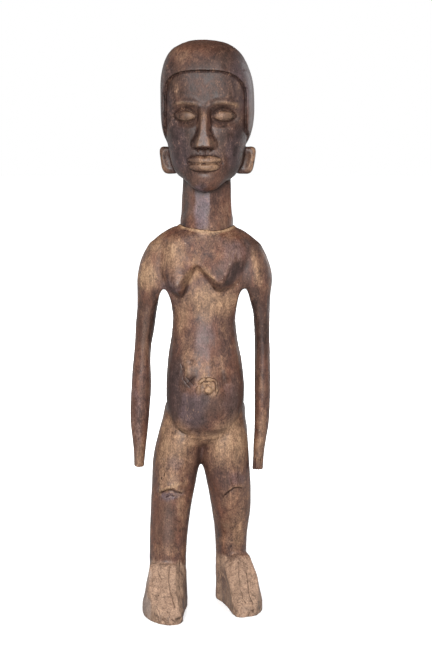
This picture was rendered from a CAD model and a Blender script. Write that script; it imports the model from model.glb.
"""Standing ancestor figure of a woman, carved in one piece from a log and darkened by long handling.

The carving is worked out as a function of a point, in millimetres, which is below zero in the wood and
about the distance to the surface near it. The CAD node gives the blank; its fine copy is drawn onto the
surface where that function is zero, with the finer cuts that the solid leaves out.
"""

import math

import bmesh
import bpy
import numpy as np
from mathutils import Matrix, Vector


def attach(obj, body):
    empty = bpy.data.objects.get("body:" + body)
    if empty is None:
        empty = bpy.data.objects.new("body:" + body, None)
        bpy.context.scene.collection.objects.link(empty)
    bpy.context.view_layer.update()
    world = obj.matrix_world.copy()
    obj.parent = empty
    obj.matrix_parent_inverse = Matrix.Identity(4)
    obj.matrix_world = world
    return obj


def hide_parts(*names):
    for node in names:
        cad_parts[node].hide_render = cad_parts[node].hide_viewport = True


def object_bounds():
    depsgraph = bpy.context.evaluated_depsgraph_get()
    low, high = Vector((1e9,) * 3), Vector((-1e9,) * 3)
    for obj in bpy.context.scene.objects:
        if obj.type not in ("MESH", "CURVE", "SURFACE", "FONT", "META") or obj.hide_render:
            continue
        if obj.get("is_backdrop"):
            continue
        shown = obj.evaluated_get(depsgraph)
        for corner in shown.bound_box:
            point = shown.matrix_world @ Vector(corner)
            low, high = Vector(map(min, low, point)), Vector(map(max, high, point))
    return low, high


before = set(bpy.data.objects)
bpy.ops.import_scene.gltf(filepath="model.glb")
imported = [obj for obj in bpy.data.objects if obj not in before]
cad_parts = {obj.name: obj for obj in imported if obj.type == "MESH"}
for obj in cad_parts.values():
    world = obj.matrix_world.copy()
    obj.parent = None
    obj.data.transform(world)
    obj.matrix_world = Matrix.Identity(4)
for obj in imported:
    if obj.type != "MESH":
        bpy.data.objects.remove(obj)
cad_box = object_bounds()

# The carving is set out from the middle of the log; the frame's origin is the middle of its box
TO_FRAME = np.array([5.441124, 18.908381, 0.0])
FAR = 60.0

# ---- Levels and sizes, the same as the solid's ----
CROWN = 620
HAIRLINE = 588
TEMPLE = 552
EAR_TOP = 506
CHIN = 460
NECK_BASE = 424
SHOULDER = 367
NAVEL = dict(x=2.2, z=249.4, ring=10.4, rim=1.5, knob=4.2, knob_rise=3.4)

# The neck's middle, and the distance of its flats from it by the way they face, in degrees
NECK = (0.8, 2)
NECK_FLATS = {-8: 26, 36: 24.5, 90: 27.8, 130: 27.8, 180: 27.8, -130: 27.8, -90: 27.8, -60: 24.7}
NECK_FOOT = dict(side=28.8, front=26, back=28.8)

HEAD_TURN = math.radians(4)
HEAD = (1.7, 3)
HAIR = dict(side=50.2, front=49, back=51, up=CROWN - TEMPLE, down=60, power=2.75)
HAIR_THICKNESS = 3.5
HAIR_ARCH = dict(side=44, up=HAIRLINE - TEMPLE, power=3.2)
CROWN_LEAN = -3.2
EYE_LINE = (CROWN + CHIN) / 2
BROW = EYE_LINE + 12
NOSE_BASE = (BROW + CHIN) / 2
MOUTH = NOSE_BASE - (NOSE_BASE - CHIN) / 3
EYE = dict(x=20.5, side=11.5, up=6.0)
JAW = dict(centre=(0, -12, 500), side=39, front=34, back=40, up=44, down=34, power=2.3)
JAW_POINT = (0, -34, CHIN + 13, 16, 12, 13)
EAR = dict(side=9.5, front=7, back=7, up=14.5, down=14.5, power=4)
EAR_TAPER = 5

FOOT = dict(toe=77, heel=23, ball=22, tip_shift=13, thickness=9, waist=18, power=2.7)
LEFT_FOOT = dict(x=-43.5, y=-14, half=23.3, turn=-6.5, ankle=54, flares=(0.2, 0.06), corner=2.15)
LEFT_FOOT.update(flat=(-15, 13.5), bevels=(2.0, 1.9))
RIGHT_FOOT = dict(x=32, y=14, half=19.8, turn=18, ankle=57, flares=(0.235, 0.0), corner=2.9)
RIGHT_FOOT.update(flat=(-9, 14), bevels=(1.1, 2.2))

YOKE = dict(centre=(-1.6, 1, SHOULDER), side=71.2, front=29, back=29, up=58, down=42)
YOKE.update(power=2.1, depth_power=3)
BUST = dict(x=-1.6, side=69, up=54)
BELLY = dict(centre=(-1.1, -4, 238), side=41.5, front=41.5, back=26, up=76, down=59, power=2.25)
# Centre, then half width, depth and height
BUTTOCKS = [(-21, 22, 184, 23, 19, 28), (18, 22, 184, 23, 19, 28)]
# Middle x and z of the notches between the arms and the trunk, and their half widths
ARMPITS = [(-45, 321, 8.1), (41.6, 322, 8.4)]
ARMPIT_HEIGHT = 32

# Level sections from the bottom up: height, centre x and y, half width, depth in front and behind
TRUNK = [
    (205, -1.5, -2, 39, 36, 26),
    (260, -1.1, -3, 39.6, 36, 26),
    (296, -1.9, -2, 37.8, 33, 27),
    (331, -1.7, -1, 35.4, 30, 29),
    (400, -0.5, 0, 36, 27, 29),
]
LEFT_ARM = [
    (140, -74.8, -5, 4.4, 6.5, 6.5),
    (172, -73.2, -4, 6.6, 9, 9),
    (207, -72.9, -3, 10, 12, 12),
    (243, -71.3, -2, 10.9, 13.5, 13.5),
    (287, -69, 0, 9.2, 13.5, 13.5),
    (314, -65.8, 0, 10.8, 14.5, 14.5),
    (331, -63.5, 0, 12, 16.5, 16.5),
    (349, -60, 0, 14.6, 19, 19),
    (368, -54.5, 0, 15, 20, 20),
    (395, -43, 0, 12, 15, 15),
]
RIGHT_ARM = [
    (140, 56.6, -5, 5.9, 7.5, 7.5),
    (172, 58.2, -4, 6.2, 9, 9),
    (207, 61.3, -3, 8.3, 12, 12),
    (243, 61.7, -2, 8.8, 13, 13),
    (287, 61.5, 0, 8.7, 13.5, 13.5),
    (314, 60.8, 0, 9.2, 14.5, 14.5),
    (331, 59.4, 0, 10.4, 16.5, 16.5),
    (349, 56, 0, 14, 19, 19),
    (368, 52.5, 0, 15, 20, 20),
    (395, 42, 0, 12, 15, 15),
]
LEFT_LEG = [
    (-10, -42.5, -14, 20, 21, 22),
    (71, -41.9, -12, 20.4, 22, 23),
    (107, -38.9, -6, 22, 25, 25),
    (144, -34.8, -1, 24.8, 28, 27),
    (165, -32.1, 0, 26.1, 30, 28),
    (189, -27, 1, 26.3, 31, 29),
    (222, -20, 2, 25, 26, 21),
]
RIGHT_LEG = [
    (-10, 28.4, 14, 17.3, 20, 22),
    (71, 27.8, 12, 17.6, 21, 23),
    (107, 27.6, 6, 21.7, 25, 25),
    (144, 23.7, 1, 24.8, 28, 27),
    (165, 21, 0, 26.3, 30, 28),
    (189, 20.9, 1, 25, 31, 29),
    (222, 18, 2, 24, 26, 21),
]
# The tip of each breast, then the corners round it
LEFT_BREAST = [
    (-31.5, -53, 360),
    (-11.5, -38, 385),
    (-8, -33, 400),
    (-38, -33, 400),
    (-50, -24, 376),
    (-43, -27, 355),
    (-26, -31, 344),
]
RIGHT_BREAST = [
    (13.8, -53, 364),
    (-11.5, -38, 385),
    (-8, -33, 400),
    (34, -33, 400),
    (44, -25, 391),
    (33, -29, 359),
    (14, -31, 350),
]
# Lines in the front view: depth, half width, and the places (x, z) that each goes through.
# A depth below zero is a raised line.
FOOT_LINES = [
    (0.35, 0.8, [(-59.2, 53), (-59.5, 49.9), (-57.8, 36.3), (-57.4, 25.9), (-56.1, 12.8)]),
    (0.5, 0.8, [(-51.7, 46.3), (-48.4, 39.6), (-43, 41)]),
    (0.45, 0.8, [(-48.4, 39.2), (-51.2, 34.2), (-51.5, 26), (-54.2, 20)]),
    (0.4, 0.7, [(-57.4, 27), (-50, 25.7)]),
    (0.8, 0.9, [(-37.9, 52), (-39.8, 48.8), (-40.5, 40.5), (-38.8, 30.8), (-36.6, 23.4), (-33.5, 16.9)]),
    (0.5, 0.8, [(-29.4, 53.3), (-28.6, 45.8), (-29.7, 35.2), (-28.5, 24.5), (-30.6, 16.2)]),
    (0.6, 0.8, [(-53.1, 15.5), (-45.1, 4.9)]),
    (0.5, 0.7, [(-46.2, 16.6), (-38.3, 11.6)]),
    (0.5, 0.7, [(-41.2, 13), (-44.1, 3.1)]),
    (0.6, 0.8, [(-38.2, 9.4), (-31.5, 2.1)]),
    (0.4, 0.7, [(-59.2, 7.6), (-51, 7.2)]),
    (0.5, 0.9, [(20.4, 33.6), (23.4, 27.3), (29.2, 19.1), (33, 9.6)]),
    (0.7, 0.9, [(35.5, 49), (35.8, 38.2), (36.7, 29), (40.1, 18.1), (43, 14.5)]),
    (0.5, 0.8, [(40.5, 50.2), (42.5, 45.4)]),
    (0.7, 0.9, [(44.4, 39.9), (46.2, 26.8), (47.1, 19.9), (50.9, 12.8)]),
    (0.3, 0.8, [(45.7, 53), (52.4, 37), (58.1, 18.7)]),
]
KNEE_LINES = [
    (-1.6, 1.9, [
        (-51.4, 132.2), (-48.8, 135.1), (-41.8, 136.6), (-35.8, 136.6), (-30.9, 134.1), (-26, 132.6),
    ]),
    (1.2, 1.0, [(-49, 130.2), (-43.4, 133.2), (-37.9, 133.8), (-33.4, 131.8), (-27, 130)]),
    (-0.8, 1.1, [(-46, 127.6), (-40.3, 130.7), (-36.9, 130.5), (-33, 127.4)]),
    (0.7, 1.0, [(-44, 124.9), (-39, 127.6), (-35, 126.9)]),
    (0.8, 0.8, [(-45.6, 151.2), (-46, 148.2)]),
    (0.7, 0.8, [(-48.8, 146.2), (-48.8, 144.5)]),
    (-1.1, 1.9, [(-50.4, 133.9), (-49.9, 133.5)]),
    (1.2, 1.0, [(20.8, 126.9), (25.3, 131.3), (30.7, 134.8), (38.8, 133.8)]),
]
BELLY_LINES = [
    (0.5, 2.0, [(-41, 214), (-37, 205.5), (-31, 200), (-25.3, 197.4), (-17, 195), (-8.5, 193.2), (0, 193)]),
    (0.5, 2.0, [(0, 193), (9.4, 194.8), (20, 199.2), (29.2, 206.6), (36, 214), (38.5, 222)]),
    (0.35, 1.3, [(-17.4, 200), (-7.5, 197.4), (9.4, 198.6), (21.2, 203.4)]),
    (0.35, 1.3, [(-12.5, 188.9), (-2.6, 187.6), (9.4, 189.2)]),
    (0.7, 2.2, [(16.4, 268), (17.2, 262.9), (18.2, 258), (21.1, 251.1)]),
    (0.5, 1.4, [(20, 262), (26, 258), (31, 262)]),
    (0.45, 0.9, [(-21, 261), (-13, 253)]),
    (0.45, 0.9, [(-20, 253.5), (-12, 261)]),
    (0.5, 0.7, [(-24, 258), (-17, 250.5)]),
    (0.5, 0.8, [(-27, 274), (-22, 266), (-24, 259)]),
]
HAND_LINES = [(0.8, 0.8, [(x, 150), (x + 0.3, 164)]) for x in (53.4, 56.5, 59.6)]
# Where each hand is sawn off: a point of the cut, and its pitch and roll in degrees
HAND_ENDS = [((-79.5, -5, 135.5), 2, 4), ((65.6, -5, 132), -2, -1)]

# Each noise has its own seed, so that every run gives the same figure
SEED = dict(broad_marks=3, narrow_marks=5, feet=7, toes=11, lines=13, navel=17, edges_across=21, edges_up=22)


# ---- Forms ----

def join(a, b, width):
    overlap = np.maximum(width - np.abs(a - b), 0)
    return np.minimum(a, b) - overlap**2 / (4 * width)


def keep(a, b, width):
    return -join(-a, -b, width)


def cut(a, b, width):
    return keep(a, -b, width)


def smoothstep(value, start, end):
    t = np.clip((value - start) / (end - start), 0, 1)
    return t * t * (3 - 2 * t)


def hump(value, half):
    return np.exp(-((value / half) ** 2))


def egg(p, centre, side, front, back, up, down, power=2.0, depth_power=None):
    """A form with a radius of its own each way, squarer with a higher power"""
    depth_power = depth_power or power
    x, y, z = (axis - middle for axis, middle in zip(p, centre))
    deep = np.where(y < 0, front, back)
    tall = np.where(z < 0, down, up)
    a, b, c = np.abs(x) / side, np.abs(y) / deep, np.abs(z) / tall
    face = np.maximum((a**power + c**power) ** (1 / power), 1e-6)
    reach = (face**depth_power + b**depth_power) ** (1 / depth_power)
    outward = (face / reach) ** (depth_power - 1)
    across = (a / face) ** (power - 1) / side * outward
    upward = (c / face) ** (power - 1) / tall * outward
    inward = (b / reach) ** (depth_power - 1) / deep
    return (reach - 1) / np.maximum(np.sqrt(across**2 + upward**2 + inward**2), 1e-3)


def ball(p, x, y, z, side, deep, up):
    return egg(p, (x, y, z), side, deep, deep, up, up)


def between_levels(p, low, high, form):
    """A form that is worked out only between two levels, and is far off beyond them"""
    value = np.full(p.shape[1], FAR)
    here = (p[2] > low) & (p[2] < high)
    if here.any():
        value[here] = form(p[:, here])
    return value


def spline(sections):
    """The sections' sizes at any level, on a smooth curve through them"""
    table = np.array(sections, float)
    levels, sizes = table[:, 0], table[:, 1:]
    last = len(levels) - 1

    def at(z):
        z = np.clip(z, levels[0], levels[-1])
        i1 = np.clip(np.searchsorted(levels, z, side="right"), 1, last)
        i0 = i1 - 1
        before = np.where(i0 > 0, i0 - 1, i1)
        after = np.where(i1 < last, i1 + 1, i0)
        t0, t1 = levels[i0], levels[i1]
        half = (t1 - t0) / 2
        wp = half / (t0 - levels[before])
        wn = half / (levels[after] - t1)
        t = (z - t0) / (t1 - t0)
        t2, t3 = t * t, t * t * t
        weights = [
            (before, -wp * t3 + 2 * wp * t2 - wp * t),
            (i0, (1 + wp) * t3 + (-1.5 - 2 * wp) * t2 + (wp - 0.5) * t + 1),
            (i1, (-1 - wn) * t3 + (1.5 + wn) * t2 + 0.5 * t),
            (after, wn * t3 - wn * t2),
        ]
        return sum(sizes[index] * weight[:, None] for index, weight in weights).T

    return at


def column(sections):
    """A trunk or limb that follows its level sections"""
    at = spline(sections)
    bottom, top = sections[0][0], sections[-1][0]

    def form(p):
        x, y, side, front, back = at(p[2])
        level = np.zeros_like(p[2])
        around = egg((p[0], p[1], level), (x, y, 0), side, front, back, 1, 1)
        return keep(around, np.maximum(p[2] - top, bottom - p[2]), 4)

    return lambda p: between_levels(p, bottom - 20, top + 20, form)


def plane_through(a, b, c):
    normal = np.cross(c - b, a - b)
    normal /= np.linalg.norm(normal)
    return normal, -a @ normal


def between(planes, rounding):
    """The space behind all of a set of planes"""
    def form(p):
        value = None
        for normal, constant in planes:
            distance = normal @ p + constant
            value = distance if value is None else keep(value, distance, rounding)
        return value

    return form


def breast(corners):
    """A blunt pyramid with crisp lower edges, from its tip and the corners round it"""
    tip, *around = (np.array(corner, float) for corner in corners)
    planes = []
    for i, corner in enumerate(around):
        normal, constant = plane_through(tip, corner, around[(i + 1) % len(around)])
        planes.append((-normal, -constant) if normal[1] > 0 else (normal, constant))
    above = between(planes[:3], 9)
    below = between(planes[3:], 5)
    return lambda p: keep(above(p), below(p), 2.2)


def neck_flats():
    planes = []
    for angle, out in NECK_FLATS.items():
        turned = math.radians(angle)
        away = np.array([math.sin(turned), -math.cos(turned), 0.045])
        away /= np.linalg.norm(away)
        planes.append((away, -away @ (np.array([*NECK, NECK_BASE]) + out * away)))
    return planes


neck_shaft = between(neck_flats(), 2)
trunk = column(TRUNK)
arms = [column(LEFT_ARM), column(RIGHT_ARM)]
legs = [column(LEFT_LEG), column(RIGHT_LEG)]
breasts = [breast(LEFT_BREAST), breast(RIGHT_BREAST)]


def noise(p, size, seed):
    """Soft unevenness of about one, with features of the given size each way"""
    table = np.random.default_rng(seed).uniform(-1, 1, (16, 16, 16))
    q = [axis / length for axis, length in zip(p, size)]
    cell = [np.floor(axis).astype(int) for axis in q]
    part = [axis - floor for axis, floor in zip(q, cell)]
    part = [t * t * t * (t * (6 * t - 15) + 10) for t in part]
    total = 0
    for i in (0, 1):
        for j in (0, 1):
            for k in (0, 1):
                corner = table[(cell[0] + i) % 16, (cell[1] + j) % 16, (cell[2] + k) % 16]
                weight = [t if step else 1 - t for t, step in zip(part, (i, j, k))]
                total = total + corner * weight[0] * weight[1] * weight[2]
    return total * 1.6


# ---- Head ----

def features(x, z):
    """How far the features stand out of the front of the face, at a place on it"""
    away = np.abs(x)
    down = np.clip((BROW - z) / (BROW - NOSE_BASE), 0, 1)
    ridge = 5 + 1.5 * down
    wings = 6 * smoothstep(down, 0.55, 0.9)
    nose_span = smoothstep(z, NOSE_BASE - 1.5, NOSE_BASE + 3) * (1 - smoothstep(z, BROW - 13, BROW + 5))
    nose_side = 1 - smoothstep(away, ridge * 0.4 + wings * 0.5, ridge + wings + 2)
    nose = (4 + 10 * down) * nose_span * nose_side
    wing_crease = -1.1 * hump(np.hypot(away - 4.5, (z - NOSE_BASE - 6) * 0.8) - 6.4, 1.2) * (away > 6)
    nostril = -2.2 * hump(np.hypot((away - 4.6) / 1.5, z - NOSE_BASE - 0.5), 1.6)
    brow_line = BROW + 3 - 0.012 * (away - EYE["x"]) ** 2
    brow = 2.4 * hump(z - brow_line, 4) * (1 - smoothstep(away, 30, 42))
    brow *= smoothstep(away, 0, 13)
    hollow = np.hypot((away - EYE["x"]) / 19, (z - EYE_LINE) / 13)
    socket = -4 * (1 - smoothstep(hollow, 0.45, 1.1))
    # The eyes are almonds between two lids that stand a little proud of them
    span = (away - EYE["x"]) / EYE["side"]
    arc = np.maximum(1 - span**2, 1e-3)
    rise = z - EYE_LINE
    almond = np.where(rise > 0, rise / EYE["up"], -rise / (0.78 * EYE["up"])) / arc
    almond = np.where(np.abs(span) < 1, almond, 9)
    opening = np.hypot(span, rise / EYE["up"])
    eye = 4.6 * np.sqrt(np.maximum(1 - opening**2, 0)) * (almond < 1)
    lid_top = np.abs(rise - EYE["up"] * arc)
    lid_foot = np.abs(rise + 0.78 * EYE["up"] * arc)
    inside = 1 - smoothstep(np.abs(span), 0.88, 1.06)
    lids = (2.5 * hump(lid_top - 0.5, 1.0) + 1.9 * hump(lid_foot - 0.4, 0.9)) * inside
    lids *= np.where(almond < 0.97, 0.35, 1)
    muzzle = 3 * hump(x, 22) * hump(z - MOUTH, 15)
    above_lips = smoothstep(z, MOUTH + 6.5, MOUTH + 9) * (1 - smoothstep(z, NOSE_BASE - 3, NOSE_BASE))
    philtrum = -0.8 * hump(x, 2.4) * above_lips
    # Lips with a soft bow, closed along a line that dips a little at the middle
    line = MOUTH - 0.3 + 0.9 * (x / 16) ** 2 - 0.7 * hump(x, 4)
    bow = 1 - 0.16 * hump(x, 3.2) + 0.1 * hump(away - 6, 4)
    upper = 3.4 * np.sqrt(np.maximum(1 - (x / 18) ** 2 - ((z - MOUTH - 3.4) / (4.4 * bow)) ** 2, 0))
    lower = 3.5 * np.sqrt(np.maximum(1 - (x / 16.5) ** 2 - ((z - MOUTH + 4.2) / 4.7) ** 2, 0))
    parting = -1.5 * hump(z - line, 0.85) * (1 - smoothstep(away, 14.5, 18))
    corners = -1.2 * hump(np.hypot(away - 18, z - MOUTH), 2.2)
    dip = -0.9 * hump(z - (MOUTH - 11), 3) * hump(x, 12)
    lips = np.maximum(upper, lower) + parting + corners + dip
    return nose + wing_crease + nostril + brow + socket + np.maximum(eye, lids) + muzzle + philtrum + lips


def ear(q):
    """A squared block with a hollow in its front and a rim round it"""
    beside = (np.abs(q[0]), q[1], q[2])
    beside = (beside[0] + EAR_TAPER * np.clip((EAR_TOP - beside[2]) / (2 * EAR["up"]), 0, 1), *beside[1:])
    middle = (44, 0, EAR_TOP - EAR["up"])
    hollow = ball(beside, 44, -EAR["front"] - 1.5, middle[2] + 1, 5.5, 4.2, 10)
    return cut(egg(beside, middle, **EAR), hollow, 2)


def turned_with_head(p):
    sin, cos = math.sin(HEAD_TURN), math.cos(HEAD_TURN)
    lean = CROWN_LEAN * smoothstep(p[2], TEMPLE + 5, CROWN)
    dx, dy = p[0] - HEAD[0] - lean, p[1] - HEAD[1]
    return dx * cos - dy * sin, dy * cos + dx * sin, p[2]


def hair_arch(x, z):
    """How far a place in the head's front view is outside the arch of the hair over the face"""
    power = HAIR_ARCH["power"]
    rise = np.maximum(z - TEMPLE, 0) / HAIR_ARCH["up"]
    return (((np.abs(x) / HAIR_ARCH["side"]) ** power + rise**power) ** (1 / power) - 1) * HAIR_ARCH["side"]


def hair_edge(p):
    x, _, z = turned_with_head(p)
    return hair_arch(x, z)


def head(p):
    x, y, z = q = turned_with_head(p)
    hair = egg(q, (0, 0, TEMPLE), **HAIR)
    jaw = egg(q, **JAW)
    chin = ball(q, *JAW_POINT)
    bare = join(join(hair + HAIR_THICKNESS, jaw, 14), chin, 16)
    face = bare - features(x, z) * smoothstep(-y, 8, 26)
    opening = np.maximum(hair_arch(x, z), y + 10)
    hem = EAR_TOP - 3 - 0.4 * np.maximum(y, 0) - z
    cap = cut(keep(hair, hem, 1.4), opening, 0.7)
    return join(join(face, cap, 0.6), ear(q), 1.6)


# ---- Body ----

def foot_frame(place):
    turn = math.radians(place["turn"])
    return math.sin(turn), math.cos(turn)


def foot(p, place):
    """A wedge that slopes from the ankle to the toes, with sides that flare out to the sole"""
    sin, cos = foot_frame(place)
    dx, dy = p[0] - place["x"], p[1] - place["y"]
    ahead = dx * sin - dy * cos
    inward = -1 if place["turn"] > 0 else 1
    toe_length = FOOT["toe"] - FOOT["ball"]
    drawn = inward * FOOT["tip_shift"] * (np.maximum(ahead - FOOT["ball"], 0) / toe_length) ** 2
    height = np.clip(p[2] - 10, 0, place["ankle"] - 10)
    outside, inside = (flare * height for flare in place["flares"])
    across = dx * cos + dy * sin - drawn
    side = place["half"] - (outside + inside) / 2
    waist = FOOT["waist"]
    from_middle = across - inward * (outside - inside) / 2
    power = np.where(from_middle * inward < 0, place["corner"], FOOT["power"])
    at = (from_middle, waist - ahead, np.zeros_like(p[2]))
    plan = egg(at, (0, 0, 0), side, FOOT["toe"] - waist, FOOT["heel"] + waist, 1, 1, power=power)
    (inner, outer), (inner_fall, outer_fall) = place["flat"], place["bevels"]
    sides = np.maximum(inner - across, 0) * inner_fall + np.maximum(across - outer, 0) * outer_fall
    sides *= smoothstep(p[2], 2, 16)
    fall = (place["ankle"] - FOOT["thickness"]) / toe_length
    top = place["ankle"] - np.maximum((ahead - FOOT["ball"]) * fall, 2) - sides
    # The tips of the toes are hacked off short rather than rounded
    hacked = 1.1 * noise(p, (5, 4, 5), SEED["toes"]) * smoothstep(ahead, FOOT["toe"] - 16, FOOT["toe"] - 5)
    return keep(plan + hacked, (p[2] - top) / math.hypot(1, fall), 2)


# The edge of the lip over each knee, from left to right
LEFT_KNEE = [(-50, 130.2), (-43.4, 133.2), (-38, 133.8), (-33.4, 132), (-27, 130.2)]
RIGHT_KNEE = [(18, 125), (20.8, 127), (25.3, 131.3), (30.7, 134.8), (38.8, 133.8)]


def knee_lip(p, edge):
    """Above the knee the wood stands out in a lip, and is cut back beneath it"""
    xs, zs = zip(*edge)
    rise = p[2] - np.interp(p[0], xs, zs)
    above = smoothstep(rise, -1.6, 1.6) * (1 - smoothstep(rise, 2, 26))
    across = np.abs(p[0] - (xs[0] + xs[-1]) / 2) / (xs[-1] - xs[0])
    return 2 * above * smoothstep(-p[1], 8, 22) * (1 - smoothstep(across, 0.42, 0.75))


def hand_end(p, middle, pitch, roll):
    """The level at which a hand is sawn off, a little askew"""
    pitch, roll = math.radians(pitch), math.radians(roll)
    normal = np.array([math.sin(roll), -math.sin(pitch) * math.cos(roll), math.cos(pitch) * math.cos(roll)])
    top = np.array(middle, float) + 20 * normal
    return -(normal @ p - normal @ top)


def neck_foot(p):
    deep = np.where(p[1] < NECK[1], NECK_FOOT["front"], NECK_FOOT["back"])
    return (np.hypot((p[0] - NECK[0]) / NECK_FOOT["side"], (p[1] - NECK[1]) / deep) - 1) * NECK_FOOT["front"]


def neck(p):
    """Hewn in flats, and rounded where it meets the shoulders"""
    flat = smoothstep(p[2], NECK_BASE + 2, NECK_BASE + 14)
    shaft = neck_shaft(p) * flat + neck_foot(p) * (1 - flat)
    return keep(shaft, np.maximum(p[2] - 505, 400 - p[2]), 4)


def bust_pair(p):
    outline = (np.hypot((p[0] - BUST["x"]) / BUST["side"], (p[2] - SHOULDER) / BUST["up"]) - 1) * BUST["up"]
    return keep(join(breasts[0](p), breasts[1](p), 8), np.maximum(outline, p[1] - 5), 10)


def sawn_arms(p):
    sawn = []
    for arm, (middle, pitch, roll) in zip(arms, HAND_ENDS):
        sawn.append(keep(arm(p), hand_end(p, middle, pitch, roll), 0.8))
    return sawn


def belly_egg(p):
    return egg(p, **BELLY)


def buttocks(p):
    left, right = (ball(p, *place) for place in BUTTOCKS)
    return join(left, right, 4)


def blank(p):
    """The figure as it is roughed out, before its lines and small cuts"""
    left = legs[0](p) - knee_lip(p, LEFT_KNEE)
    right = legs[1](p) - knee_lip(p, RIGHT_KNEE)
    lower = join(join(left, right, 7), between_levels(p, 130, 240, buttocks), 14)
    chest = between_levels(p, 300, 450, lambda q: egg(q, **YOKE))
    top = join(chest, trunk(p), 12)
    for arm in sawn_arms(p):
        top = join(top, arm, 12)
    spine = 1.8 * hump(p[0] + 1, 6) * smoothstep(p[1], 8, 20) * smoothstep(p[2], 225, 250)
    belly = between_levels(p, 160, 340, belly_egg)
    pair = between_levels(p, 320, 450, bust_pair)
    bust = join(join(top + spine, belly, 8), pair, 2)
    notches = [np.hypot((p[0] - x) / half, (p[2] - z) / ARMPIT_HEIGHT) for x, z, half in ARMPITS]
    torso = cut(bust, (np.minimum(*notches) - 1) * 8, 4)
    waist = 3 + 11 * smoothstep(p[1], -4, 14)
    standing = join(torso, lower, waist)
    for place in (LEFT_FOOT, RIGHT_FOOT):
        standing = join(standing, between_levels(p, -20, 90, lambda q, place=place: foot(q, place)), 4)
    shaft = between_levels(p, 385, 525, neck)
    # The shoulders rise to a thin rim round the neck
    rim = hump(neck_foot(p) - 1.3, 1.2) * (p[2] > 400)
    standing = join(standing - rim, shaft, 0.8)
    return join(standing, between_levels(p, 440, 660, head), 1.4)


def line_distance(p, line):
    """How far a point is, in the front view, from a line through a few places"""
    nearest = np.full(p.shape[1], FAR)
    for (x1, z1), (x2, z2) in zip(line, line[1:]):
        dx, dz = x2 - x1, z2 - z1
        reached = np.clip(((p[0] - x1) * dx + (p[2] - z1) * dz) / (dx * dx + dz * dz), 0, 1)
        nearest = np.minimum(nearest, np.hypot(p[0] - x1 - reached * dx, p[2] - z1 - reached * dz))
    return nearest


def cut_depth(p, lines):
    """The depth at each point of a set of lines cut in the front"""
    depth = np.zeros(p.shape[1])
    front = p[1] < np.where(p[2] < LEFT_FOOT["ankle"] + 4, 6, -6)
    for deep, half, line in lines:
        xs, zs = zip(*line)
        beside = (p[0] > min(xs) - 4 * half) & (p[0] < max(xs) + 4 * half)
        here = np.flatnonzero(front & beside & (p[2] > min(zs) - 4 * half) & (p[2] < max(zs) + 4 * half))
        if here.size:
            place = p[:, here] + 0.4 * noise(p[:, here], (6, 6, 9), SEED["lines"])
            depth[here] += deep * hump(line_distance(place, line), half)
    return depth


def on_front(x, z):
    """The point of the front that lies behind a place in the front view"""
    p = np.array([[x], [-100.0], [z]])
    for _ in range(60):
        p[1] += 0.8 * blank(p)
    return p[:, 0]


ALL_LINES = FOOT_LINES + KNEE_LINES + BELLY_LINES + HAND_LINES
navel = on_front(NAVEL["x"], NAVEL["z"])
navel_sides = [on_front(NAVEL["x"] + dx, NAVEL["z"] + dz) for dx, dz in ((8, 0), (-8, 0), (0, 8))]
facing, _ = plane_through(navel_sides[1], navel_sides[0], navel_sides[2])
navel_seat = (navel_sides[0] + navel_sides[1]) / 2

# Small hollows struck into the belly beside the navel: place in the front view, half width and height, depth
DENTS = [
    (-18.0, 256.5, 4.8, 4.0, 1.5),
    (-25.0, 268.0, 2.4, 8.5, 1.2),
    (-15.6, 276.4, 4.2, 3.2, 1.2),
    (-20.5, 267.0, 2.8, 5.5, -0.9),
    (24.0, 262.0, 3.5, 5.0, -0.5),
]


def navel_form(p):
    """A knob inside a raised ring, square to the belly. The ring is worn away underneath."""
    away = p - navel_seat[:, None] + noise(p, (4.5, 4.5, 4.5), SEED["navel"])
    out = facing @ away
    flat = np.sqrt(np.maximum((away**2).sum(0) - out**2, 0))
    sunk = 1.1 * smoothstep(-away[2], 1, 9)
    ring = np.hypot(flat - NAVEL["ring"], out + sunk) - NAVEL["rim"]
    inner = np.hypot(flat - 0.55 * NAVEL["ring"], out + 0.6 + 0.6 * sunk) - 1.2
    lift = p - navel[:, None] - np.array([[0.4], [0], [-2.5]])
    height = facing @ lift
    spread = np.sqrt(np.maximum((lift**2).sum(0) - height**2, 0))
    knob = (np.hypot(spread / NAVEL["knob"], height / NAVEL["knob_rise"]) - 1) * NAVEL["knob_rise"]
    return join(join(ring, inner, 0.8), knob, 0.8)


def tool_marks(p):
    """The unevenness that the knife leaves, longer along the grain than across it"""
    broad = 0.30 * noise(p, (13, 13, 34), SEED["broad_marks"])
    narrow = 0.12 * noise(p, (5, 5, 15), SEED["narrow_marks"])
    feet = 1 - smoothstep(p[2], 50, 66)
    rough = 0.22 * noise(p, (4, 4, 7), SEED["feet"]) * feet
    face = smoothstep(p[2], CHIN - 8, CHIN + 4) * smoothstep(-p[1], 14, 26) * (p[2] < HAIRLINE)
    return (broad + narrow) * (1 - 0.75 * face) + rough


def figure(p):
    form = blank(p)
    form = join(form, between_levels(p, 225, 275, navel_form), 1.2)
    front = p[1] < 0
    for x, z, half, tall, depth in DENTS:
        form = form + depth * np.exp(-((p[0] - x) / half) ** 2 - ((p[2] - z) / tall) ** 2) * front
    return np.maximum(form + cut_depth(p, ALL_LINES) - tool_marks(p), -p[2])


# ---- Mesh ----

VOXEL = 0.001
MOST_FACES = 196000


def evaluated_mesh(piece):
    bpy.context.view_layer.update()
    return bpy.data.meshes.new_from_object(piece.evaluated_get(bpy.context.evaluated_depsgraph_get()))


def with_modifier(piece, kind, **settings):
    """Replaces a piece's mesh by what one modifier makes of it"""
    modifier = piece.modifiers.new("work", kind)
    for name, value in settings.items():
        setattr(modifier, name, value)
    mesh = evaluated_mesh(piece)
    piece.modifiers.clear()
    piece.data = mesh


def put_in_scene(name, data):
    thing = bpy.data.objects.new(name, data)
    bpy.context.scene.collection.objects.link(thing)
    return thing


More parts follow.
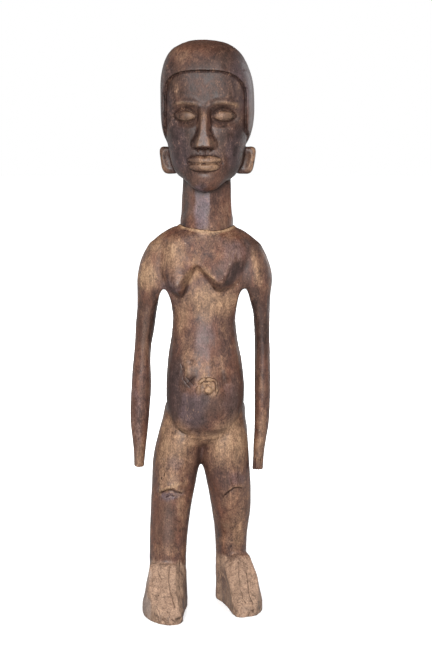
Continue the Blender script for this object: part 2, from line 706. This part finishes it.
def merged_copy(node, name):
    mesh = node.data.copy()
    whole = bmesh.new()
    whole.from_mesh(mesh)
    bmesh.ops.remove_doubles(whole, verts=whole.verts, dist=1e-6)
    whole.to_mesh(mesh)
    whole.free()
    mesh.materials.clear()
    return put_in_scene(name, mesh)


def carving_points(mesh):
    flat = np.empty(len(mesh.vertices) * 3, np.float32)
    mesh.vertices.foreach_get("co", flat)
    return flat.reshape(-1, 3).T.astype(float) * 1000 - TO_FRAME[:, None]


def put_points(mesh, p):
    flat = ((p + TO_FRAME[:, None]) / 1000).T.astype(np.float32).ravel()
    mesh.vertices.foreach_set("co", flat)
    mesh.update()


def slope(form, p, value, step=0.15):
    found = np.empty_like(p)
    for axis in range(3):
        moved = p.copy()
        moved[axis] += step
        found[axis] = (form(moved) - value) / step
    return found


def evened(p, edges, normals):
    """Slides each vertex along the surface towards the middle of its neighbours"""
    a, b = edges
    count = np.bincount(np.concatenate([a, b]), minlength=p.shape[1])
    middle = np.empty_like(p)
    for axis in range(3):
        weights = np.concatenate([p[axis][b], p[axis][a]])
        middle[axis] = np.bincount(np.concatenate([a, b]), weights, p.shape[1]) / np.maximum(count, 1)
    shift = middle - p
    shift -= (shift * normals).sum(0) * normals
    return p + 0.5 * shift


def drawn_nearer(p, furthest):
    """Moves each point to about where the carving's surface is, and gives the way it faces there"""
    value = figure(p)
    steep = slope(figure, p, value)
    length = np.maximum(np.sqrt((steep**2).sum(0)), 0.3)
    normals = steep / length
    return p - normals * np.clip(value / length, -furthest, furthest), normals


def drawn_onto_carving(mesh, rounds):
    """Draws a close mesh onto the surface of the carving"""
    ends = np.empty(len(mesh.edges) * 2, np.int32)
    mesh.edges.foreach_get("vertices", ends)
    edges = ends.reshape(-1, 2).T
    p = carving_points(mesh)
    for _ in range(rounds):
        p, normals = drawn_nearer(p, 1.2)
        p = evened(p, edges, normals)
    p, _ = drawn_nearer(p, 0.6)
    p[2] = np.maximum(p[2], 0)
    put_points(mesh, p)


# Where the knife went finer: lowest and highest corners, in the carving's own millimetres
FINE_WORK = [
    ((-44, -90, 462), (46, -20, 592)),
    ((-34, -80, 240), (36, -20, 282)),
    ((-56, -60, 122), (44, -14, 154)),
    ((-70, -100, 0), (66, -8, 58)),
    ((-34, -60, 410), (36, 34, 432)),
    ((-92, -40, 128), (-66, 30, 142)),
    ((50, -40, 126), (78, 30, 138)),
]


def with_finer_places(piece):
    """Halves the mesh's spacing where the work is fine"""
    p = carving_points(piece.data)
    fine = np.zeros(p.shape[1], bool)
    for low, high in FINE_WORK:
        inside = (p > np.array(low)[:, None]) & (p < np.array(high)[:, None])
        fine |= inside.all(0)
    whole = bmesh.new()
    whole.from_mesh(piece.data)
    edges = [edge for edge in whole.edges if fine[edge.verts[0].index] and fine[edge.verts[1].index]]
    bmesh.ops.subdivide_edges(whole, edges=edges, cuts=1, use_grid_fill=True)
    bmesh.ops.triangulate(whole, faces=[face for face in whole.faces if len(face.verts) > 4])
    whole.to_mesh(piece.data)
    whole.free()


carving = merged_copy(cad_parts["figure"], "carved_figure")
with_modifier(carving, "REMESH", mode="VOXEL", voxel_size=VOXEL, use_smooth_shade=True)
with_finer_places(carving)
drawn_onto_carving(carving.data, 3)
faces = sum(len(face.vertices) - 2 for face in carving.data.polygons)
with_modifier(carving, "DECIMATE", ratio=min(1, MOST_FACES / faces), use_collapse_triangulate=True)
carving.data.shade_smooth()


# ---- Handling and wear ----

def patch(p, x, z, half, tall, tilt=0.0, soft=0.6):
    """One in the middle of an oval on the front of the figure, falling to nothing past its edge"""
    turn = math.radians(tilt)
    dx, dz = p[0] - x, p[2] - z
    u = (dx * math.cos(turn) + dz * math.sin(turn)) / half
    v = (dz * math.cos(turn) - dx * math.sin(turn)) / tall
    return 1 - smoothstep(np.hypot(u, v), 1 - soft, 1 + soft)


# Ovals on the front: middle x and z, half width and height, tilt in degrees, strength
RUBBED = [
    (-33, 392, 17, 18, 10, 0.68),
    (-36, 370, 14, 12, 0, 0.35),
    (0, 398, 16, 16, 0, 0.15),
    (-4, 388, 12, 8, 0, 0.35),
    (-11, 377, 6, 14, 0, 0.7),
    (-20, 367, 5, 13, -39, 0.9),
    (2, 372, 5, 13, 50, 0.8),
    (6, 340, 27, 18, 0, 0.95),
    (-24, 330, 9, 26, 0, 0.55),
    (24, 318, 10, 30, 0, 0.3),
    (-63, 369, 9, 17, 0, 1.1),
    (54, 378, 6, 22, 0, 0.75),
    (-56, 402, 18, 12, 35, 0.75),
    (-18, 282, 8, 22, 0, 0.55),
    (-21, 267, 5, 7, 0, 0.7),
    (4, 268, 18, 12, 0, 0.4),
    (2, 251, 13, 12, 0, 0.9),
    (-39, 136.5, 13, 2.6, 0, 1.0),
    (-49, 133, 3, 5, 0, 0.8),
    (-20, 553, 15, 4, 0, 0.6),
    (23, 553, 15, 4, 0, 0.6),
    (-19, 541, 14, 9, 0, 0.6),
    (23, 541, 14, 9, 0, 0.6),
    (1.7, 491, 19, 8, 0, 0.55),
    (1.7, 514, 16, 5, 0, 0.4),
    (-36, 183, 22, 34, 0, 0.8),
    (27, 186, 24, 34, 0, 0.85),
    (-48, 142, 5, 7, 0, 0.8),
    (-26, 128, 5, 34, 0, 0.45),
    (0, 190, 32, 12, 0, 0.7),
    (42, 118, 7, 34, 0, 0.35),
    (33, 96, 14, 40, 0, 0.55),
    (-38, 160, 16, 24, 0, 0.6),
    (30, 74, 18, 12, 0, 0.6),
    (-42, 66, 20, 8, 0, 0.4),
    (62, 165, 6, 14, 0, 0.5),
    (-73, 168, 5, 18, 0, 0.5),
    (-66, 300, 6, 30, 0, 0.35),
    (58, 320, 5, 26, 0, 0.3),
    (62, 186, 7, 36, 0, 0.5),
    (60, 247, 6, 24, 0, 0.3),
    (-72, 255, 6, 24, 0, 0.22),
    (-74, 200, 7, 34, 0, 0.3),
    (-26, 604, 14, 9, 0, 0.45),
    (-2, 604, 12, 8, 0, 0.3),
    (-44, 492, 9, 14, 0, 0.6),
    (48, 492, 9, 14, 0, 0.6),
    (-30, 572, 9, 10, 20, 0.5),
    (32, 570, 9, 12, -20, 0.5),
    (18, 438, 7, 12, 0, 0.2),
    (0, 412, 34, 6, 0, 0.3),
]
DARKENED = [
    (-1, 222, 36, 26, 0, 0.8),
    (-34, 248, 13, 44, 0, 1.0),
    (36, 238, 9, 34, 0, 0.55),
    (-20, 258, 9, 7, 0, 1.0),
    (19, 258, 7, 9, 0, 0.7),
    (-15, 276, 5, 4, 0, 0.5),
    (-20, 266, 6, 14, 0, 0.7),
    (-33, 161, 9, 10, 0, 0.45),
    (-37, 127, 15, 5, 0, 0.15),
    (34, 143, 10, 7, 25, 0.5),
    (27, 127, 10, 4, 20, 0.3),
    (-43, 96, 14, 34, 0, 0.38),
    (22, 92, 9, 30, 0, 0.4),
    (29, 372, 23, 7, 45, 0.95),
    (8, 363, 12, 4, -45, 0.5),
    (-40, 361, 8, 14, 0, 0.45),
    (40, 362, 8, 17, 0, 0.75),
    (46, 350, 5, 10, 0, 0.6),
    (-25, 352, 10, 7, 0, 0.9),
    (15, 356, 10, 5, 0, 0.7),
    (60, 308, 9, 36, 0, 0.6),
    (-69, 312, 8, 28, 0, 0.35),
    (54, 400, 15, 13, -30, 0.75),
    (0, 405, 18, 12, 0, 0.35),
    (0, 570, 26, 22, 0, 0.8),
    (-47, 556, 13, 50, 0, 0.8),
    (20, 440, 10, 24, 0, 0.35),
    (-40, 6, 22, 5, 0, 0.35),
    (50, 6, 18, 5, 0, 0.35),
    (56, 22, 5, 20, -20, 0.3),
    (-56, 322, 4, 36, 0, 0.8),
    (52, 322, 4, 36, 0, 0.8),
    (-24, 445, 6, 34, 0, 0.95),
    (-7, 178, 4, 22, 0, 0.5),
    (20, 600, 24, 22, 0, 0.3),
    (-28, 512, 15, 32, 0, 1.0),
    (28, 510, 13, 30, 0, 0.75),
    (-24, 424, 4, 12, 0, 0.6),
    (17, 323, 1.6, 18, 0, 0.5),
]
GREYED = [
    (-4, 442, 9, 26, 0, 1.0),
    (0, 300, 12, 22, 0, 0.5),
    (-38, 358, 10, 12, 0, 0.6),
    (31, 372, 18, 7, 45, 0.5),
    (34, 396, 20, 16, 0, 0.45),
    (20, 378, 12, 10, 0, 0.4),
    (-33, 163, 9, 9, 0, 0.7),
    (-37, 127, 14, 5, 0, 0.9),
    (32, 143, 12, 8, 25, 0.5),
    (40, 580, 14, 36, 0, 0.8),
    (-44, 560, 8, 36, 0, 0.6),
    (2, 566, 10, 18, 0, 0.1),
    (-30, 505, 13, 28, 0, 0.9),
    (32, 505, 12, 28, 0, 0.8),
    (-16, 226, 20, 20, 0, 0.75),
    (-34, 245, 10, 36, 0, 0.6),
    (28, 235, 12, 24, 0, 0.45),
    (-67, 24, 7, 26, 0, 1.0),
    (-76, 205, 4, 60, 0, 0.5),
]
# Where the sheen is dulled
MATTE = [
    (2, 570, 28, 20, 0, 0.28),
    (0, 390, 24, 24, 0, 0.35),
    (0, 300, 18, 34, 0, 0.12),
    (-22, 600, 20, 14, 0, 0.4),
    (-40, 98, 18, 36, 0, 0.18),
]


def ovals(p, rows):
    """The strongest of a set of ovals at each point, with ragged edges"""
    across, up = (noise(p, (9, 9, 14), SEED[name]) for name in ("edges_across", "edges_up"))
    ragged = p + 3.0 * np.stack([across, np.zeros_like(across), up])
    strongest = np.zeros_like(across)
    for *place, strength in rows:
        strongest = np.maximum(strongest, strength * patch(ragged, *place))
    front = smoothstep(-p[1], -8, 6)
    return strongest * front


def surface_at(p):
    """The way the surface faces at each point, and how it bulges over a short and a long reach"""
    value = figure(p)
    normal = slope(figure, p, value)
    normal /= np.maximum(np.sqrt((normal**2).sum(0)), 1e-3)
    helper = np.where(np.abs(normal[2]) < 0.8, np.array([[0], [0], [1]]), np.array([[1], [0], [0]]))
    side = np.cross(helper.T, normal.T).T
    side /= np.sqrt((side**2).sum(0))
    other = np.cross(normal.T, side.T).T

    def bulge(reach):
        around = [figure(p + reach * way) for way in (side, -side, other, -other)]
        return (sum(around) / 4 - value) / reach

    return normal, bulge(1.3), bulge(4.5)


def lined_dirt(p):
    """Dirt in the scored lines and under the edge of the hair"""
    scored = 0.1 * smoothstep(cut_depth(p, FOOT_LINES + HAND_LINES), 0.15, 0.8)
    scored += 0.42 * smoothstep(cut_depth(p, KNEE_LINES), 0.3, 1.2)
    scored += 0.2 * smoothstep(cut_depth(p, BELLY_LINES), 0.1, 0.9)
    hem = hump(hair_edge(p) + 1.6, 2.0) * (p[1] < 0) * smoothstep(p[2], TEMPLE - 44, TEMPLE - 20)
    return np.maximum(scored, 0.9 * hem)


def rubbed_rims(p, normal):
    """The ring of the navel and the rim round the foot of the neck"""
    ring = hump(navel_form(p), 1.4) * (np.abs(p[2] - NAVEL["z"]) < 20) * (p[1] < 0)
    rim = hump(neck_foot(p) - 1.6, 1.6) * smoothstep(normal[2], 0.0, 0.4) * (p[2] > 405) * (p[2] < 436)
    rim *= smoothstep(-p[1], -16, 8)
    return np.maximum(0.5 * ring, 1.3 * rim)


def dark_skin(p):
    """The skin of long handling, strongest on the head, the arms, the shins and the lower belly"""
    head = smoothstep(p[2], 436, 470)
    arms = smoothstep(np.abs(p[0] + 2), 48, 54) * smoothstep(p[2], 180, 240)
    arms *= 1 - smoothstep(p[2], 330, 385)
    shins = (1 - smoothstep(np.abs(p[2] - 98), 20, 45)) * (np.abs(p[0] + 5) < 58)
    belly = (1 - smoothstep(belly_egg(p), 0.5, 2.5)) * (1 - smoothstep(p[2], 236, 262)) * (p[1] < 2)
    lower_edge = 193 + 0.013 * (p[0] + 1) ** 2
    belly *= smoothstep(p[2] - lower_edge, -3, 4)
    return np.maximum(ovals(p, DARKENED), 0.66 * belly) + (0.62 * head + 0.4 * arms + 0.16 * shins)


def bare_feet(p, normal, low):
    """Dry wood on the tops, the fronts and the outer side of the feet"""
    top = low * smoothstep(normal[2] - 0.8 * normal[1], 0.1, 0.6)
    front = 0.5 * low * smoothstep(-normal[1], -0.2, 0.3) * (1 - top)
    outer_side = 0.65 * low * smoothstep(-p[0], 44, 56) * smoothstep(-p[1], -12, 12)
    return np.maximum.reduce([top, outer_side, front])


def marks(p):
    """What wear and dirt do at each point of the surface, as masks from nothing to one"""
    normal, fine, broad = surface_at(p)
    crest = smoothstep(fine, 0.03, 0.16) + 0.5 * smoothstep(broad, 0.12, 0.35)
    cleft = 0.8 * smoothstep(-fine, 0.04, 0.2) + 0.6 * smoothstep(-broad, 0.05, 0.3)
    shade = 1 - np.clip(figure(p + 9 * normal) / 9, 0, 1)
    # The wood between the breasts and where the legs join is rubbed clean right into the angle
    clean = 1 - 0.75 * patch(p, -10, 368, 17, 20) - 0.45 * patch(p, -3, 180, 14, 14)
    low = 1 - smoothstep(p[2], 44, 60)
    # Dust dulls what faces upwards
    dusty = smoothstep(normal[2], 0.35, 0.8) * smoothstep(p[2], 300, 330)
    return {
        "rubbed": np.clip(np.maximum(ovals(p, RUBBED), rubbed_rims(p, normal)), 0, 1.3),
        "darkened": np.clip(dark_skin(p), 0, 1),
        "greyed": ovals(p, GREYED),
        "crest": np.clip(crest, 0, 1) * np.where(p[2] > CHIN, 1, 0.4),
        "cleft": np.clip(cleft * clean * (1 - 0.35 * low) + lined_dirt(p), 0, 1),
        "shade": np.clip(shade, 0, 1) * clean,
        "bare_foot": bare_feet(p, normal, low),
        "matte": np.maximum(dusty, ovals(p, MATTE)),
    }


for name, values in marks(carving_points(carving.data)).items():
    layer = carving.data.attributes.new(name, "FLOAT", "POINT")
    layer.data.foreach_set("value", values.astype(np.float32))


# ---- Wood ----

def add(tree, kind, inputs=(), **settings):
    """A shader node: an input is linked where it is given a socket, and set where it is given a value"""
    node = tree.nodes.new(kind)
    for name, value in settings.items():
        setattr(node, name, value)
    for name, value in dict(inputs).items():
        if isinstance(value, bpy.types.NodeSocket):
            tree.links.new(value, node.inputs[name])
        else:
            node.inputs[name].default_value = value
    return node


def new_material(name):
    """A material, its nodes and its main shader"""
    material = bpy.data.materials.new(name)
    material.use_nodes = True
    return material, material.node_tree, material.node_tree.nodes["Principled BSDF"]


def math_node(tree, operation, *values):
    return add(tree, "ShaderNodeMath", enumerate(values), operation=operation).outputs[0]


def product(tree, a, b):
    return math_node(tree, "MULTIPLY", a, b)


def more(tree, value, by, to):
    """The second value is multiplied into the first, and the third is added"""
    return math_node(tree, "MULTIPLY_ADD", value, by, to)


def blend(tree, factor, a, b, kind="MIX"):
    """Mixes two colours"""
    node = add(tree, "ShaderNodeMix", {0: factor, 6: a, 7: b}, data_type="RGBA", blend_type=kind)
    return node.outputs[2]


def ranged(tree, value, low, high, start=0.0, end=1.0, smooth=True):
    inputs = {"Value": value, "From Min": low, "From Max": high, "To Min": start, "To Max": end}
    kind = "SMOOTHSTEP" if smooth else "LINEAR"
    return add(tree, "ShaderNodeMapRange", inputs, interpolation_type=kind).outputs[0]


def mask(tree, name):
    return add(tree, "ShaderNodeAttribute", attribute_name=name).outputs["Fac"]


def stretched(tree, sizes, turn=(0, 0, 0)):
    """Object coordinates in features of the given sizes, in metres"""
    place = add(tree, "ShaderNodeTexCoord").outputs["Object"]
    scale = [1 / size for size in sizes]
    return add(tree, "ShaderNodeMapping", {"Vector": place, "Scale": scale, "Rotation": turn}).outputs[0]


def cloud(tree, sizes, detail=3.0, rough=0.55, turn=(0, 0, 0), warp=0.0):
    inputs = {"Vector": stretched(tree, sizes, turn), "Scale": 1.0, "Detail": detail, "Roughness": rough}
    return add(tree, "ShaderNodeTexNoise", {**inputs, "Distortion": warp}).outputs["Fac"]


def colour(red, green, blue):
    return (red, green, blue, 1)


SOOT = colour(0.028, 0.0145, 0.0115)
BROWN = colour(0.077, 0.039, 0.031)
UMBER = colour(0.150, 0.074, 0.048)
RUST = colour(0.150, 0.060, 0.036)
OCHRE = colour(0.268, 0.155, 0.090)
HONEY = colour(0.410, 0.265, 0.152)
TAN = colour(0.345, 0.222, 0.152)
DRY_TAN = colour(0.205, 0.118, 0.076)
SLATE = colour(0.116, 0.080, 0.092)
PALE_GREY = colour(0.33, 0.25, 0.21)
PALE_FLECK = colour(0.46, 0.35, 0.26)

# The level of the wood's mirror reflections, and what is left of it under dust
GLOSS = 0.42
DUSTY_GLOSS = 0.04


def patinated_wood():
    material, tree, skin = new_material("patinated_wood")

    blotch = cloud(tree, (0.022, 0.022, 0.034), detail=4, rough=0.6)
    mottle = cloud(tree, (0.0065, 0.0065, 0.0095), detail=5, rough=0.62, warp=0.4)
    speckle = cloud(tree, (0.0014, 0.0014, 0.0022), detail=3, rough=0.65)
    redness = cloud(tree, (0.014, 0.014, 0.040), detail=3)
    grain = cloud(tree, (0.0011, 0.0011, 0.016), detail=4, rough=0.6, warp=0.2)
    streak = cloud(tree, (0.0034, 0.0034, 0.045), detail=3, rough=0.6, warp=0.3)
    rubbed, darkened, crest, matte = (mask(tree, name) for name in ("rubbed", "darkened", "crest", "matte"))

    # The unevenness that every mask breaks up into, about nothing on average
    uneven = more(tree, mottle, 0.8, product(tree, speckle, 0.6))
    uneven = more(tree, blotch, 0.8, uneven)
    uneven = math_node(tree, "SUBTRACT", uneven, 1.1)

    def ragged(amount, low, high, share=1.5):
        return ranged(tree, more(tree, uneven, share, amount), low, high)

    def laid(tone, amount, share, under):
        """A tone over what is under it, as far as the amount and a share of it say"""
        return blend(tree, product(tree, amount, share), under, tone)

    base = blend(tree, ranged(tree, blotch, 0.38, 0.62, 0.1, 0.75), BROWN, UMBER)
    base = blend(tree, ranged(tree, uneven, -0.1, 0.25, 0, 0.7), base, UMBER)
    base = blend(tree, ranged(tree, redness, 0.42, 0.66, 0, 0.6), base, RUST)
    grey = ragged(mask(tree, "greyed"), 0.2, 0.9, 1.0)
    base = laid(SLATE, grey, 0.8, base)

    wear = more(tree, crest, 0.5, rubbed)
    wear = more(tree, darkened, -0.22, wear)
    worn = ragged(wear, 0.0, 1.1, 1.2)
    base = laid(OCHRE, worn, 0.85, base)
    base = laid(HONEY, ragged(wear, 0.6, 1.7, 2.0), 0.5, base)

    foot = ragged(mask(tree, "bare_foot"), 0.1, 0.7, 0.8)
    foot_tone = blend(tree, ranged(tree, uneven, -0.52, 0.26), DRY_TAN, TAN)
    foot_tone = laid(PALE_GREY, grey, 0.8, foot_tone)
    base = blend(tree, foot, base, foot_tone)

    # Fine scratches that run more or less along the grain, broken up by the mottling
    bent = cloud(tree, (0.012, 0.012, 0.012), detail=1)
    run = {0: stretched(tree, (0.007, 0.007, 0.030), (0.25, 0.2, 0)), 1: bent}
    run = add(tree, "ShaderNodeVectorMath", run, operation="ADD").outputs[0]
    cells = {"Vector": run, "Scale": 1.0}
    cells = add(tree, "ShaderNodeTexVoronoi", cells, feature="DISTANCE_TO_EDGE").outputs["Distance"]
    scratch = ranged(tree, cells, 0.004, 0.03, 1, 0)
    scratch = product(tree, scratch, ranged(tree, blotch, 0.46, 0.58))
    scratch = product(tree, scratch, ranged(tree, darkened, 0.2, 0.75, 1, 0.15))
    base = laid(HONEY, scratch, 0.22, base)

    dirt = more(tree, mask(tree, "shade"), 0.5, darkened)
    dirt = more(tree, rubbed, -0.25, dirt)
    base = laid(SOOT, ragged(dirt, 0.25, 1.15, 1.5), 0.8, base)
    base = laid(SOOT, ragged(mask(tree, "cleft"), 0.15, 0.85, 0.5), 0.75, base)

    # Small chips where the dark skin is gone, and small dark pits
    chipped = more(tree, mottle, 0.6, product(tree, speckle, 0.4))
    base = laid(OCHRE, ranged(tree, chipped, 0.54, 0.68), 0.2, base)
    pit_depth = more(tree, darkened, 0.2, 0.22)
    pit_depth = more(tree, foot, -0.12, pit_depth)
    base = laid(SOOT, ranged(tree, chipped, 0.47, 0.36), pit_depth, base)

    # A few pale flecks, one in ten of the places that they could have
    places = {"Vector": stretched(tree, (0.008, 0.008, 0.010)), "Scale": 1.0}
    dots = add(tree, "ShaderNodeTexVoronoi", places)
    fleck = ranged(tree, dots.outputs["Distance"], 0.05, 0.11, 1, 0)
    chosen = add(tree, "ShaderNodeSeparateColor", {"Color": dots.outputs["Color"]}).outputs[0]
    fleck = product(tree, fleck, ranged(tree, chosen, 0.90, 0.92))
    base = laid(PALE_FLECK, fleck, 0.6, base)

    # The dark skin is the most uneven in tone
    dark_mottle = ranged(tree, chipped, 0.36, 0.64, 0.52, 1.56, smooth=False)
    base = blend(tree, darkened, base, dark_mottle, "MULTIPLY")
    for cause, darkest, palest in (
        (grain, 0.86, 1.12), (speckle, 0.62, 1.38), (streak, 0.82, 1.18), (mottle, 0.80, 1.20),
    ):
        tone = ranged(tree, cause, 0.3, 0.7, darkest, palest, smooth=False)
        base = blend(tree, 1.0, base, tone, "MULTIPLY")
    tree.links.new(base, skin.inputs["Base Color"])

    # Worn wood, bare feet and dust are duller than the handled skin
    rough = ranged(tree, mottle, 0.3, 0.7, 0.40, 0.54)
    for cause, share in ((worn, 0.10), (foot, 0.20), (matte, 0.25)):
        rough = more(tree, cause, share, rough)
    tree.links.new(rough, skin.inputs["Roughness"])
    gloss = ranged(tree, matte, 0, 1, GLOSS, DUSTY_GLOSS, smooth=False)
    gloss = product(tree, gloss, ranged(tree, mask(tree, "cleft"), 0.2, 0.9, 1, 0.25))
    skin.inputs["Specular IOR Level"].default_value = GLOSS
    tree.links.new(gloss, skin.inputs["Specular IOR Level"])

    height = more(tree, mottle, 0.55, product(tree, grain, 0.15))
    height = more(tree, speckle, 0.12, height)
    height = more(tree, scratch, 0.08, height)
    relief = ranged(tree, matte, 0, 0.9, 0.75, 0, smooth=False)
    bump = add(tree, "ShaderNodeBump", {"Height": height, "Strength": relief, "Distance": 0.0009})
    tree.links.new(bump.outputs[0], skin.inputs["Normal"])
    return material


carving.data.materials.append(patinated_wood())
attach(carving, "root")
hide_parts("figure")


# ---- Studio ----

# The paper's tone to the camera and to the figure, and its glow by the distance from the figure
PAPER_SEEN = colour(0.93, 0.93, 0.93)
PAPER_THROWN = colour(0.42, 0.42, 0.42)
PAPER_GLOW = dict(low=0.1, high=1.2, start=0.28, end=0.9)
PAPER_HALF = 8

# Name, place, what it is turned to, width and height, power
SOFTBOXES = [
    ("key", (-0.15, -2.4, 1.15), (0, 0, 0.33), (0.8, 0.8), 78),
    ("left_side", (-1.5, 1.7, 0.7), (0, 0, 0.35), (0.6, 1.4), 3),
    ("right_side", (1.5, 1.7, 0.7), (0, 0, 0.35), (0.6, 1.4), 9),
    ("back", (0, 2.4, 0.9), (0, 0, 0.3), (0.8, 0.8), 40),
]
SKYLIGHT = dict(energy=0.45, angle=math.radians(80))
# The shares of the white surroundings that light the figure's sheen and its shaded sides
SHEEN = 0.45
FILL = 0.4
# Places in the carving's millimetres; the focal length is for a picture that many pixels high
CAMERA = dict(place=(10.95, -1980.5, 591.0), aim=(10.95, 0, 312.6), focal=1826, rows=648, sensor=36)


def white_paper():
    """Paper that throws less light back onto the figure than the camera sees of it"""
    material, tree, skin = new_material("white_paper")
    skin.inputs["Roughness"].default_value = 0.9
    seen = add(tree, "ShaderNodeLightPath").outputs["Is Camera Ray"]
    tree.links.new(blend(tree, seen, PAPER_THROWN, PAPER_SEEN), skin.inputs["Base Color"])
    place = add(tree, "ShaderNodeTexCoord").outputs["Object"]
    distance = add(tree, "ShaderNodeVectorMath", {0: place}, operation="LENGTH").outputs["Value"]
    glow = product(tree, seen, ranged(tree, distance, **PAPER_GLOW))
    skin.inputs["Emission Color"].default_value = colour(1, 1, 1)
    tree.links.new(glow, skin.inputs["Emission Strength"])
    return material


def white_surroundings():
    world = bpy.data.worlds.new("studio")
    world.use_nodes = True
    tree = world.node_tree
    background = tree.nodes["Background"]
    background.inputs["Color"].default_value = colour(1, 1, 1)
    rays = add(tree, "ShaderNodeLightPath").outputs
    strength = more(tree, rays["Is Diffuse Ray"], FILL - 1, 1.0)
    strength = more(tree, rays["Is Glossy Ray"], SHEEN - 1, strength)
    tree.links.new(strength, background.inputs["Strength"])
    return world


def turn_to(thing, place, target):
    thing.location = place
    thing.rotation_euler = (Vector(target) - Vector(place)).to_track_quat("-Z", "Y").to_euler()


def softbox(name, place, target, size, power):
    data = bpy.data.lights.new(name, "AREA")
    data.shape = "RECTANGLE"
    data.size, data.size_y = size
    data.energy = power
    light = put_in_scene(name, data)
    turn_to(light, place, target)
    return light


floor_mesh = bpy.data.meshes.new("floor")
corners = [(x * PAPER_HALF, y * PAPER_HALF, 0) for x, y in ((-1, -1), (1, -1), (1, 1), (-1, 1))]
floor_mesh.from_pydata(corners, [], [(0, 1, 2, 3)])
floor_mesh.materials.append(white_paper())
floor = put_in_scene("floor", floor_mesh)
floor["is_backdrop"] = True

lights = {name: softbox(name, *setting) for name, *setting in SOFTBOXES}
lights["back"].visible_glossy = False
skylight = put_in_scene("skylight", bpy.data.lights.new("skylight", "SUN"))
skylight.data.energy = SKYLIGHT["energy"]
skylight.data.angle = SKYLIGHT["angle"]

scene = bpy.context.scene
scene.world = white_surroundings()
scene.view_settings.view_transform = "Standard"

camera = put_in_scene("camera", bpy.data.cameras.new("camera"))
eye, aim = (Vector((np.array(CAMERA[key]) + TO_FRAME) / 1000) for key in ("place", "aim"))
turn_to(camera, eye, aim)
camera.data.sensor_fit = "VERTICAL"
camera.data.sensor_height = CAMERA["sensor"]
camera.data.lens = CAMERA["focal"] / CAMERA["rows"] * CAMERA["sensor"]
scene.camera = camera

[[list(corner) for corner in box] for box in (cad_box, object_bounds())]
